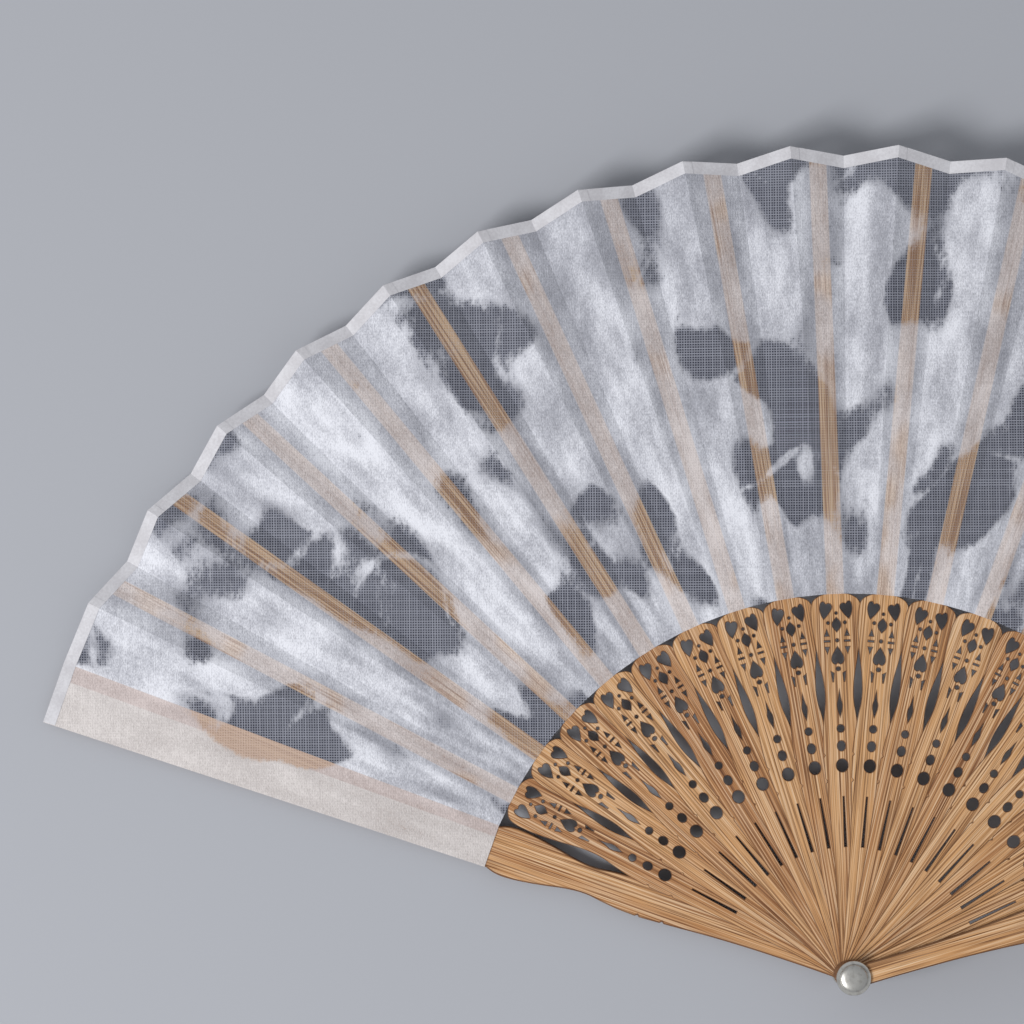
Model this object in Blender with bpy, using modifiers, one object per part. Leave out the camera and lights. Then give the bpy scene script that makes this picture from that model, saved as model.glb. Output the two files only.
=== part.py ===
"""An open folding fan: pierced bamboo blades on one rivet, under a pleated leaf of sheer cloth.

Metres, +Z up. The rivet's axis is the Z axis, the fan lies open, and +Y is the middle of its spread.
Angles run clockwise from +Y, seen from above. Each blade lies on top of its left neighbour, so the
stack climbs from the left guard, which is lowest, to the right guard, which is highest.
"""

import math

import bmesh
import bpy
from mathutils import Vector

# How many blades there are between the two guards, and how the fan spreads
BLADES = 18
PITCH = math.radians(7.487)
END_PITCH = math.radians(8.43)

# The leaf: its two edges, its pleats and the strip that binds its outer edge
LEAF_INNER_R = 0.095
LEAF_OUTER_R = 0.207
LEAF_FLARE = 0.0045
FLARE_POWER = 3
VALLEY_DIP = 0.00275
PLEAT_RISE = 0.0018
LEAF_T = 0.00015
BINDING_W = 0.003
BINDING_T = 0.00035
BINDING_STEP = 0.0002
CREASE_GAP = 0.0003
LEAF_ROWS = 7

# The blades: a flat pierced part, and a thin rib that the leaf is glued on
BLADE_T = 0.0007
BLADE_GAP = 0.0003
BLADE_W = 0.0126
TAIL_R = 0.004
TAIL_STEPS = 8
RIB_W = 0.0043
RIB_T = 0.00035
RIB_SINK = 0.00005
RIB_ROOT = 0.0015
RIB_ROWS = 8
GLUE_GAP = 0.00015

# The blade's half outline above its round tail: how far out, and how wide, with a small V notch at two places
OUTLINE_SHARES = (
    (0.125, 0.413), (0.33, 0.492), (0.503, 0.670), "notch", (0.515, 0.683), (0.571, 0.738), "notch",
    (0.583, 0.738), (0.632, 0.714), (0.674, 0.651), (0.726, 0.563), (0.779, 0.630), (0.832, 0.786),
    (0.884, 0.921), (0.932, 1.0), (0.963, 0.995),
)
HEAD_SHARES = ((0.983, 0.905), (0.9947, 0.683), (1.0016, 0.365))
NOTCH_DEPTH = 0.00045

# The cut-outs, from the head down to the rivet: places as shares of the leaf's inner radius, then sizes
HEART_SHARE, HEART_W, HEART_L, HEART_OUT = 0.957, 0.0029, 0.0043, 0.0025
DIAMOND_SHARE, DIAMOND_W, DIAMOND_L = 0.9195, 0.00225, 0.0036
SPADE_SHARE, SPADE_W, SPADE_L = 0.838, 0.0029, 0.0043
NEEDLE_SHARE, NEEDLE_W, NEEDLE_L = 0.7115, 0.0012, 0.0063
EYE_SHARES = (0.6475, 0.602, 0.5495)
EYE_SMALL, EYE_MIDDLE, EYE_LARGE = (0.0018, 0.0019), (0.0020, 0.0025), (0.0029, 0.0032)
SLIT_FOOT_SHARE, SLIT_TOP_SHARE, SLIT_FOOT_W, SLIT_TOP_W = 0.3355, 0.467, 0.00065, 0.0003
ROUND_STEPS = 10

# The right heart's outline round its middle, as shares of its width and length: it leans outwards
HEART_SHARES = (
    (0.0, 0.345), (-0.25, 0.4), (-0.5, 0.24), (-0.31, -0.08), (0.22, -0.5), (0.44, -0.18), (0.5, 0.24),
    (0.27, 0.5),
)

# Half outlines of the other cut-outs, from the top down the right side, as shares of their width and length
SPADE_HALF_SHARES = ((0.0, 0.5), (0.27, 0.21), (0.5, -0.1), (0.46, -0.38), (0.2, -0.5), (0.0, -0.39))
DIAMOND_HALF_SHARES = ((0.0, 0.5), (0.27, 0.2), (0.5, 0.0), (0.27, -0.22), (0.0, -0.5))
NEEDLE_HALF_SHARES = ((0.0, 0.5), (0.24, 0.16), (0.5, -0.05), (0.0, -0.5))

# The guards: flat bars as wide as a blade up to the leaf, then a long flat foot under the leaf
GUARD_T = 0.0022
GUARD_ROOT_W = 0.0107
GUARD_TIP_W = 0.0156
GUARD_TIP_R = 0.2105
GUARD_CORNER_R = 0.0008
GUARD_SHOULDER_SHARES = ((0.9835, 0.93), (0.9947, 0.868))
GUARD_BOW = 0.0012
FOLD_ROOM = 0.00015
LEAF_TIP_R = 0.2116

# The rivet and its two washers
RIVET_R = 0.0012
RIVET_HEAD_R = 0.0034
RIVET_FLAT_R = 0.0019
RIVET_HEAD_H = 0.0009
WASHER_R = 0.0043
WASHER_T = 0.0004
FIT_GAP = 0.0003
TURNED_STEPS = 20
WELD = 0.000001

# Colours of the materials, and how rough each finish is
BAMBOO = (0.56, 0.34, 0.17)
BAMBOO_PALE = (0.62, 0.41, 0.22)
CLOTH = (0.72, 0.74, 0.78)
CLOTH_SHADE = (0.62, 0.64, 0.69)
STEEL = (0.62, 0.60, 0.56)
BLADE_ROUGHNESS = 0.55
GUARD_ROUGHNESS = 0.5
CLOTH_ROUGHNESS = 0.8
STEEL_ROUGHNESS = 0.35

# Heights that follow from the sizes above
STACK_PITCH = BLADE_T + BLADE_GAP
GUARD_LOW_Z = RIVET_HEAD_H + FIT_GAP + WASHER_T + FIT_GAP
FIRST_BLADE_Z = GUARD_LOW_Z + GUARD_T + BLADE_GAP
GUARD_HIGH_Z = FIRST_BLADE_Z + BLADES * STACK_PITCH
TOP_WASHER_Z = GUARD_HIGH_Z + GUARD_T + FIT_GAP
TOP_HEAD_Z = TOP_WASHER_Z + WASHER_T + FIT_GAP
LEAF_LEVEL = BLADE_T - RIB_SINK + GLUE_GAP + LEAF_T / 2
LEAF_SEAT = GLUE_GAP + (LEAF_T + BINDING_T) / 2
LOW_RELIEF = PLEAT_RISE + BINDING_T / 2 - LEAF_LEVEL + FOLD_ROOM + LEAF_SEAT - BLADE_GAP
HIGH_RELIEF = PLEAT_RISE + BINDING_T / 2 + LEAF_LEVEL + FOLD_ROOM + LEAF_SEAT - STACK_PITCH

# Angles that follow from the spread
FIRST_ANGLE = -PITCH * (BLADES - 1) / 2
GUARD_ANGLE = FIRST_ANGLE - END_PITCH
CREASE = PITCH / 4


def clear_scene():
    for obj in list(bpy.data.objects):
        bpy.data.objects.remove(obj)


def new_collection(name):
    made = bpy.data.collections.new(name)
    bpy.context.scene.collection.children.link(made)
    return made


def finish(obj, colour, roughness, metallic=0):
    """Gives the object a material of its own."""
    material = bpy.data.materials.new(obj.name)
    material.use_nodes = True
    shader = material.node_tree.nodes["Principled BSDF"]
    shader.inputs["Base Color"].default_value = (*colour, 1)
    shader.inputs["Roughness"].default_value = roughness
    shader.inputs["Metallic"].default_value = metallic
    obj.data.materials.clear()
    obj.data.materials.append(material)


def add_mesh(name, shape, home):
    """A new object from a bmesh, with its faces turned outwards."""
    bmesh.ops.recalc_face_normals(shape, faces=shape.faces)
    mesh = bpy.data.meshes.new(name)
    shape.to_mesh(mesh)
    shape.free()
    obj = bpy.data.objects.new(name, mesh)
    home.objects.link(obj)
    return obj


def flat_plate(name, loops, thickness, home):
    """A plate that lies on z = 0. The first loop of points is its outline, and the others are holes."""
    curve = bpy.data.curves.new(name, "CURVE")
    curve.dimensions = "2D"
    curve.fill_mode = "BOTH"
    curve.extrude = thickness / 2
    for loop in loops:
        spline = curve.splines.new("POLY")
        spline.points.add(len(loop) - 1)
        spline.use_cyclic_u = True
        for point, (x, y) in zip(spline.points, loop):
            point.co = (x, y, 0, 1)
    guide = bpy.data.objects.new(name, curve)
    home.objects.link(guide)
    graph = bpy.context.evaluated_depsgraph_get()
    mesh = bpy.data.meshes.new_from_object(guide.evaluated_get(graph))
    bpy.data.objects.remove(guide)
    shape = bmesh.new()
    shape.from_mesh(mesh)
    bpy.data.meshes.remove(mesh)
    bmesh.ops.remove_doubles(shape, verts=shape.verts, dist=WELD)
    bmesh.ops.translate(shape, verts=shape.verts, vec=(0, 0, thickness / 2))
    return add_mesh(name, shape, home)


def turned(name, profile, home):
    """A solid of revolution round Z, from (radius, height) points. One that starts off the axis is a ring."""
    mesh = bpy.data.meshes.new(name)
    points = [(radius, 0, height) for radius, height in profile]
    edges = [(i, i + 1) for i in range(len(points) - 1)]
    if profile[0][0] > 0:
        edges.append((len(points) - 1, 0))
    mesh.from_pydata(points, edges, [])
    obj = bpy.data.objects.new(name, mesh)
    home.objects.link(obj)
    spin = obj.modifiers.new("turn", "SCREW")
    spin.steps = TURNED_STEPS
    spin.render_steps = TURNED_STEPS
    spin.use_merge_vertices = True
    spin.merge_threshold = WELD
    return obj


def mirrored(half):
    """A whole outline from its right half, listed from one end on the axis to the other."""
    return list(half) + [(-x, y) for x, y in reversed(half) if x > WELD]


def ellipse(width, length, steps):
    turns = [2 * math.pi * step / steps for step in range(steps)]
    return [(width / 2 * math.sin(turn), length / 2 * math.cos(turn)) for turn in turns]


def moved(loop, x, y, turn=0.0):
    """The loop turned clockwise and then moved."""
    sine, cosine = math.sin(turn), math.cos(turn)
    return [(x + px * cosine + py * sine, y - px * sine + py * cosine) for px, py in loop]


def scaled(shares, width, length):
    return [(x * width, y * length) for x, y in shares]


def scaled_half(half_shares, width, length):
    return mirrored(scaled(half_shares, width, length))


def tail_arc():
    """The right half of the round tail, from its lowest point up to the shank."""
    end = math.pi - math.asin(OUTLINE_SHARES[0][1] * BLADE_W / 2 / TAIL_R)
    turns = [end * step / TAIL_STEPS for step in range(TAIL_STEPS + 1)]
    return [(TAIL_R * math.sin(turn), -TAIL_R * math.cos(turn)) for turn in turns]


def side_points():
    """The right side of a blade or guard, from the shank to the widest part of the head."""
    points = []
    for index, share in enumerate(OUTLINE_SHARES):
        if share == "notch":
            before, after = OUTLINE_SHARES[index - 1], OUTLINE_SHARES[index + 1]
            out = (before[0] + after[0]) / 2 * LEAF_INNER_R
            points.append(((before[1] + after[1]) / 4 * BLADE_W - NOTCH_DEPTH, out))
        else:
            points.append((share[1] * BLADE_W / 2, share[0] * LEAF_INNER_R))
    return points


def blade_outline():
    head = [(half * BLADE_W / 2, out * LEAF_INNER_R) for out, half in HEAD_SHARES]
    return mirrored(tail_arc() + side_points() + head)


def guard_outline():
    shoulder = [(half * BLADE_W / 2, out * LEAF_INNER_R) for out, half in GUARD_SHOULDER_SHARES]
    tip = [
        (GUARD_TIP_W / 2, GUARD_TIP_R - GUARD_CORNER_R),
        (GUARD_TIP_W / 2 - GUARD_CORNER_R, GUARD_TIP_R),
    ]
    foot = [(GUARD_ROOT_W / 2, LEAF_INNER_R + GUARD_CORNER_R)]
    return mirrored(tail_arc() + side_points() + shoulder + foot + tip)


def cut_outs():
    """The holes of a pierced blade, and the hole for its rivet."""
    heart = moved(scaled(HEART_SHARES, HEART_W, HEART_L), HEART_OUT, HEART_SHARE * LEAF_INNER_R)
    slit_foot, slit_top = SLIT_FOOT_SHARE * LEAF_INNER_R, SLIT_TOP_SHARE * LEAF_INNER_R
    slit = [
        (-SLIT_FOOT_W / 2, slit_foot),
        (SLIT_FOOT_W / 2, slit_foot),
        (SLIT_TOP_W / 2, slit_top),
        (-SLIT_TOP_W / 2, slit_top),
    ]
    holes = [heart, [(-x, y) for x, y in heart], slit, rivet_hole()]
    for shares, width, length, share in (
        (DIAMOND_HALF_SHARES, DIAMOND_W, DIAMOND_L, DIAMOND_SHARE),
        (SPADE_HALF_SHARES, SPADE_W, SPADE_L, SPADE_SHARE),
        (NEEDLE_HALF_SHARES, NEEDLE_W, NEEDLE_L, NEEDLE_SHARE),
    ):
        holes.append(moved(scaled_half(shares, width, length), 0, share * LEAF_INNER_R))
    for share, (width, length) in zip(EYE_SHARES, (EYE_SMALL, EYE_MIDDLE, EYE_LARGE)):
        holes.append(moved(ellipse(width, length, ROUND_STEPS), 0, share * LEAF_INNER_R))
    return holes


def rivet_hole():
    radius = RIVET_R + FIT_GAP
    return ellipse(2 * radius, 2 * radius, ROUND_STEPS)


def edge_radius(angle):
    """How far out the leaf's ridges reach: a little further towards the guards."""
    return LEAF_OUTER_R + LEAF_FLARE * abs(angle / FIRST_ANGLE) ** FLARE_POWER


def rise(radius):
    """Half the height of a pleat, which grows from nothing at the leaf's inner edge."""
    return PLEAT_RISE * ramp(radius)


def ramp(radius):
    return (radius - LEAF_INNER_R) / (LEAF_OUTER_R - LEAF_INNER_R)


def blade_angle(number):
    return FIRST_ANGLE + PITCH * (number - 1)


def blade_z(number):
    return FIRST_BLADE_Z + STACK_PITCH * (number - 1)


def polar(radius, angle, height):
    return Vector((radius * math.sin(angle), radius * math.cos(angle), height))


def ridge_line(number):
    """The crease at a blade's left, where the leaf is highest: its inner end and its outer end."""
    angle, level = blade_angle(number) - CREASE, blade_z(number) + LEAF_LEVEL
    outer = edge_radius(angle)
    return polar(LEAF_INNER_R, angle, level), polar(outer, angle, level + rise(outer))


def valley_line(number):
    angle, level = blade_angle(number) + CREASE, blade_z(number) + LEAF_LEVEL
    outer = edge_radius(angle) - VALLEY_DIP
    return polar(LEAF_INNER_R, angle, level), polar(outer, angle, level - rise(outer))


def middle_line(first, second):
    return tuple((a + b) / 2 for a, b in zip(first, second))


def rib(number, home):
    """The thin strip under the leaf. It twists with the pleat that is glued to it."""
    end = edge_radius(blade_angle(number)) - VALLEY_DIP / 2 - BINDING_W - FIT_GAP
    shape = bmesh.new()
    bmesh.ops.create_grid(shape, x_segments=1, y_segments=RIB_ROWS + 1, size=1)
    for vertex in shape.verts:
        row = round((vertex.co.y + 1) / 2 * (RIB_ROWS + 1))
        radius = LEAF_INNER_R + (end - LEAF_INNER_R) * (row - 1) / RIB_ROWS
        if row == 0:
            radius = LEAF_INNER_R - RIB_ROOT
        across = vertex.co.x * RIB_W / 2
        slope = -rise(max(radius, LEAF_INNER_R)) / (radius * math.tan(CREASE))
        vertex.co = (across, radius, BLADE_T - RIB_SINK - RIB_T + slope * across)
    bmesh.ops.triangulate(shape, faces=shape.faces)
    made = bmesh.ops.extrude_face_region(shape, geom=shape.faces[:], use_keep_orig=True)
    top = [item for item in made["geom"] if isinstance(item, bmesh.types.BMVert)]
    bmesh.ops.translate(shape, verts=top, vec=(0, 0, RIB_T))
    return add_mesh(f"rib_{number:02d}", shape, home)


def blade(number, plate, home, helpers):
    """One pierced blade: the flat plate joined with its own rib."""
    obj = bpy.data.objects.new(f"stick_{number:02d}", plate.data.copy())
    home.objects.link(obj)
    strip = rib(number, helpers)
    strip.parent = obj
    strip.hide_render = True
    strip.display_type = "WIRE"
    obj.location = (0, 0, blade_z(number))
    obj.rotation_euler = (0, 0, -blade_angle(number))
    union = obj.modifiers.new("rib", "BOOLEAN")
    union.operation = "UNION"
    union.solver = "EXACT"
    union.object = strip
    finish(obj, BAMBOO if number % 2 else BAMBOO_PALE, BLADE_ROUGHNESS)
    return obj


def guard(name, angle, height, low_rise, high_rise, home):
    """A plain guard. Under the leaf its lower and upper faces slope, so the closed pleats have room."""
    obj = flat_plate(name, [guard_outline(), rivet_hole()], GUARD_T, home)
    shape = bmesh.new()
    shape.from_mesh(obj.data)
    bmesh.ops.bisect_plane(
        shape,
        geom=shape.verts[:] + shape.edges[:] + shape.faces[:],
        plane_co=(0, LEAF_INNER_R, 0),
        plane_no=(0, 1, 0),
    )
    for vertex in shape.verts:
        share = max(0, ramp(vertex.co.y))
        vertex.co.z += share * (high_rise if vertex.co.z > GUARD_T / 2 else low_rise)
    shape.to_mesh(obj.data)
    shape.free()
    obj.location = (0, 0, height)
    obj.rotation_euler = (0, 0, -angle)
    finish(obj, BAMBOO, GUARD_ROUGHNESS)
    return obj


def guard_line(angle, side, face, rise_at_end):
    """One edge of a guard's foot as the leaf follows it, where face is the leaf's height at its inner end."""
    ends = [(side * GUARD_ROOT_W / 2, LEAF_INNER_R), (side * GUARD_TIP_W / 2, LEAF_TIP_R)]
    places = moved(ends, 0, 0, angle)
    heights = [face + rise_at_end * ramp(out) for _, out in ends]
    return tuple(Vector((*place, height)) for place, height in zip(places, heights))


def cloth(name, lines, home, colour):
    """A strip of leaf through these lines, each an inner and an outer end, thicker at its bound edge."""
    rows = LEAF_ROWS + 2
    shape = bmesh.new()
    half = shape.verts.layers.float.new("half thickness")
    bmesh.ops.create_grid(shape, x_segments=len(lines) - 1, y_segments=rows, size=1)
    for vertex in shape.verts:
        column = round((vertex.co.x + 1) / 2 * (len(lines) - 1))
        row = round((vertex.co.y + 1) / 2 * rows)
        inner, outer = lines[column]
        reach = (outer - inner).length
        bound = 1 - BINDING_W / reach
        if row <= LEAF_ROWS:
            along = bound * row / LEAF_ROWS
        else:
            along = 1 if row == rows else bound + BINDING_STEP / reach
        place = inner.lerp(outer, along)
        if column in (0, len(lines) - 1):
            beside = lines[1 if column == 0 else column - 1]
            place += (beside[0].lerp(beside[1], along) - place).normalized() * CREASE_GAP / 2
        vertex.co = place
        vertex[half] = (LEAF_T if row <= LEAF_ROWS else BINDING_T) / 2
    bmesh.ops.triangulate(shape, faces=shape.faces)
    made = bmesh.ops.extrude_face_region(shape, geom=shape.faces[:], use_keep_orig=True)
    top = {item for item in made["geom"] if isinstance(item, bmesh.types.BMVert)}
    for vertex in shape.verts:
        vertex.co.z += vertex[half] if vertex in top else -vertex[half]
    obj = add_mesh(name, shape, home)
    finish(obj, colour, CLOTH_ROUGHNESS)
    return obj


def leaf(home):
    """The leaf in strips: a panel glued on each blade, the folds between them, and an end on each guard."""
    for number in range(1, BLADES + 1):
        ridge, valley = ridge_line(number), valley_line(number)
        cloth(f"leaf_panel_{number:02d}", (ridge, middle_line(ridge, valley), valley), home, CLOTH)
    for number in range(1, BLADES):
        lines = (valley_line(number), ridge_line(number + 1))
        cloth(f"leaf_fold_{number:02d}", lines, home, CLOTH_SHADE)
    low, high = GUARD_LOW_Z + GUARD_T + GLUE_GAP + LEAF_T / 2, GUARD_HIGH_Z - GLUE_GAP - LEAF_T / 2
    outer_left = guard_line(GUARD_ANGLE, -1, low, -LOW_RELIEF)
    inner_left = guard_line(GUARD_ANGLE, 1, low, -LOW_RELIEF)
    inner_right = guard_line(-GUARD_ANGLE, -1, high, HIGH_RELIEF)
    outer_right = guard_line(-GUARD_ANGLE, 1, high, HIGH_RELIEF)
    cloth("leaf_end_left", (outer_left, inner_left, ridge_line(1)), home, CLOTH)
    cloth("leaf_end_right", (valley_line(BLADES), inner_right, outer_right), home, CLOTH)


def rivet(home):
    """The rivet with its two spread heads, and a washer under each."""
    top = TOP_HEAD_Z + RIVET_HEAD_H
    shoulder = (RIVET_HEAD_R + RIVET_FLAT_R) / 2
    profile = [
        (0, top),
        (RIVET_FLAT_R, top),
        (shoulder, top - RIVET_HEAD_H / 4),
        (RIVET_HEAD_R, TOP_HEAD_Z + RIVET_HEAD_H / 4),
        (RIVET_HEAD_R, TOP_HEAD_Z),
        (RIVET_R, TOP_HEAD_Z),
        (RIVET_R, RIVET_HEAD_H),
        (RIVET_HEAD_R, RIVET_HEAD_H),
        (RIVET_HEAD_R, RIVET_HEAD_H * 3 / 4),
        (shoulder, RIVET_HEAD_H / 4),
        (RIVET_FLAT_R, 0),
        (0, 0),
    ]
    finish(turned("rivet", profile, home), STEEL, STEEL_ROUGHNESS, metallic=1)
    for name, low in (("washer_lower", RIVET_HEAD_H + FIT_GAP), ("washer_upper", TOP_WASHER_Z)):
        high = low + WASHER_T
        inner = RIVET_R + FIT_GAP
        ring = [(inner, high), (WASHER_R, high), (WASHER_R, low), (inner, low)]
        finish(turned(name, ring, home), STEEL, STEEL_ROUGHNESS, metallic=1)


def build():
    clear_scene()
    parts, helpers = new_collection("folding_fan"), new_collection("helpers")
    guard("guard_left", GUARD_ANGLE, GUARD_LOW_Z, 0, -LOW_RELIEF, parts)
    plate = flat_plate("blade_plate", [blade_outline()] + cut_outs(), BLADE_T, helpers)
    for number in range(1, BLADES + 1):
        blade(number, plate, parts, helpers)
    bpy.data.objects.remove(plate)
    guard("guard_right", -GUARD_ANGLE, GUARD_HIGH_Z, HIGH_RELIEF, GUARD_BOW, parts)
    leaf(parts)
    rivet(parts)


build()
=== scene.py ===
# %% [markdown]
# # A folding fan of pierced bamboo and sheer cloth
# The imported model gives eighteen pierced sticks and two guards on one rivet, with a pleated leaf over them.
# This lesson dresses it. It cuts the fine piercings, rounds the rims of the bamboo, turns the rivet, lays
# the sheer cloth in pleats that follow the sticks when the fan closes, and binds the cloth's outer edge.
# Lengths are in metres, and the fan turns about the z axis with its sticks pointing along y.

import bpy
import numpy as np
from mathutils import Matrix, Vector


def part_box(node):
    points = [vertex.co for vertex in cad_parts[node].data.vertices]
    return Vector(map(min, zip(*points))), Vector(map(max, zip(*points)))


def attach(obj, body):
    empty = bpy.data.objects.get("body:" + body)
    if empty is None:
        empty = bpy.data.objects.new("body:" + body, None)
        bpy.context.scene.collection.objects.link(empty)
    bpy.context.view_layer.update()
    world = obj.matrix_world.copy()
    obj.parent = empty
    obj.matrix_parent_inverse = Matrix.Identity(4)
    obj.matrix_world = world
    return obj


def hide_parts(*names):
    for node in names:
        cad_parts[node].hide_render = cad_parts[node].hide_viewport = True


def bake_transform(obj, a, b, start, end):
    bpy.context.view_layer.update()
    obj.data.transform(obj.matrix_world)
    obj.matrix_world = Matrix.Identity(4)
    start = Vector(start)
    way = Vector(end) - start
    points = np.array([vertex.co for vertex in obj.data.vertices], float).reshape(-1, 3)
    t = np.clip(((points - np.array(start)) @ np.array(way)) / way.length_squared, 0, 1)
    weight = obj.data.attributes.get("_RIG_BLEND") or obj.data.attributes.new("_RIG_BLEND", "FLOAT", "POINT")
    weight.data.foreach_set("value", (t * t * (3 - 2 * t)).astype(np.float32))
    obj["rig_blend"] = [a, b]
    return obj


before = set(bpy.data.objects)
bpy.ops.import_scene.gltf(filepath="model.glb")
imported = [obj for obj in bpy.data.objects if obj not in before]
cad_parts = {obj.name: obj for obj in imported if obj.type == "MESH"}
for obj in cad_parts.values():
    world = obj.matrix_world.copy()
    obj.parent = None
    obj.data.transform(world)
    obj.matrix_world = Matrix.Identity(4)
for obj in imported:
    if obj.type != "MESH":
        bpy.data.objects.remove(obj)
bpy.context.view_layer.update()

# %% Tools
import math

import bmesh
import bpy
import numpy as np
from mathutils import Matrix, Vector, noise

MM = 0.001
TINY = MM / 1000
print("points closer than", TINY, "m are one")

# %% [markdown]
# ## The camera
# The fan was photographed from straight above with the camera turned a little. A long lens far away does
# the same: it keeps the scale nearly equal over the fan, and the other views can still move it as a normal
# camera. The rivet's axis has to fall on its pixel of the picture, which places the camera sideways, and
# the size of a pixel on the fan places it in height.

# %% Camera
IMAGE_SIDE = 1024
PIXEL = 0.25 * MM
PIVOT_PIXEL = (850.2, 973.3)
ROLL = math.radians(1.39)
LENS = 200
SENSOR = 36
PICTURED_LEVEL = 10 * MM


def point_camera():
    """Places the camera so that the rivet's axis falls on its pixel of the photograph."""
    data = bpy.data.cameras.new("camera")
    data.lens = LENS
    data.sensor_width = SENSOR
    camera = bpy.data.objects.new("camera", data)
    bpy.context.scene.collection.objects.link(camera)
    turn = Matrix.Rotation(ROLL, 3, "Z")
    right = (IMAGE_SIDE / 2 - PIVOT_PIXEL[0]) * PIXEL
    up = (PIVOT_PIXEL[1] - IMAGE_SIDE / 2) * PIXEL
    distance = IMAGE_SIDE * PIXEL * LENS / SENSOR
    camera.location = turn @ Vector((right, up, PICTURED_LEVEL + distance))
    camera.rotation_euler = (0, 0, ROLL)
    bpy.context.scene.camera = camera
    return distance


print("the camera is", round(point_camera(), 3), "m above the fan")

# %% [markdown]
# ## Floor and light
# A matt pale floor takes the fan's soft shadow. One large lamp stands to the left on the rivet's side, so
# that the folds that face it are brighter than the folds on the sticks, and an even sky fills the shadows.
# The lamp is set so that a colour comes out about as it is written.

# %% Floor, lamp and sky
FLOOR_COLOUR = (0.43, 0.44, 0.475)
FLOOR_ROUGHNESS = 0.9
FLOOR_HALF = 4.0
FLOOR_DROP = 0.1 * MM
SKY_COLOUR = (0.93, 0.96, 1.0)
SKY_STRENGTH = 0.42
KEY_PLACE = (-0.95, -0.42, 1.12)
KEY_SIDE = 0.6
KEY_POWER = 17.0


def object_from(name, shape):
    """A new object at the origin from a bmesh."""
    mesh = bpy.data.meshes.new(name)
    shape.to_mesh(mesh)
    shape.free()
    obj = bpy.data.objects.new(name, mesh)
    bpy.context.scene.collection.objects.link(obj)
    return obj


def lay_floor():
    shape = bmesh.new()
    bmesh.ops.create_grid(shape, x_segments=1, y_segments=1, size=FLOOR_HALF)
    bmesh.ops.translate(shape, verts=shape.verts, vec=(0, 0, -FLOOR_DROP))
    floor = object_from("floor", shape)
    material = bpy.data.materials.new("pale floor")
    material.use_nodes = True
    shader = material.node_tree.nodes["Principled BSDF"]
    shader.inputs["Base Color"].default_value = (*FLOOR_COLOUR, 1)
    shader.inputs["Roughness"].default_value = FLOOR_ROUGHNESS
    floor.data.materials.append(material)


def light_studio():
    data = bpy.data.lights.new("key", "AREA")
    data.shape = "SQUARE"
    data.size = KEY_SIDE
    data.energy = KEY_POWER
    lamp = bpy.data.objects.new("key", data)
    lamp.location = KEY_PLACE
    lamp.rotation_euler = (-Vector(KEY_PLACE)).to_track_quat("-Z", "Y").to_euler()
    bpy.context.scene.collection.objects.link(lamp)
    world = bpy.data.worlds.new("sky")
    world.use_nodes = True
    background = world.node_tree.nodes["Background"]
    background.inputs["Color"].default_value = (*SKY_COLOUR, 1)
    background.inputs["Strength"].default_value = SKY_STRENGTH
    bpy.context.scene.world = world
    bpy.context.scene.view_settings.view_transform = "Standard"


lay_floor()
light_studio()
print("key lamp", KEY_POWER, "W, sky", SKY_STRENGTH)

# %% [markdown]
# ## Sums on sockets
# A material is a net of nodes. This class wraps one output of it, so that a line such as 1 - mask * 0.5
# adds the Math nodes by itself, and every other kind of node comes from one method. A Mix node keeps
# sockets for each kind of value under the same names, so its colour sockets are picked by their places.

# %% Shader maths
MIX_FACTOR, MIX_FIRST, MIX_SECOND, MIX_RESULT = 0, 6, 7, 2


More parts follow.
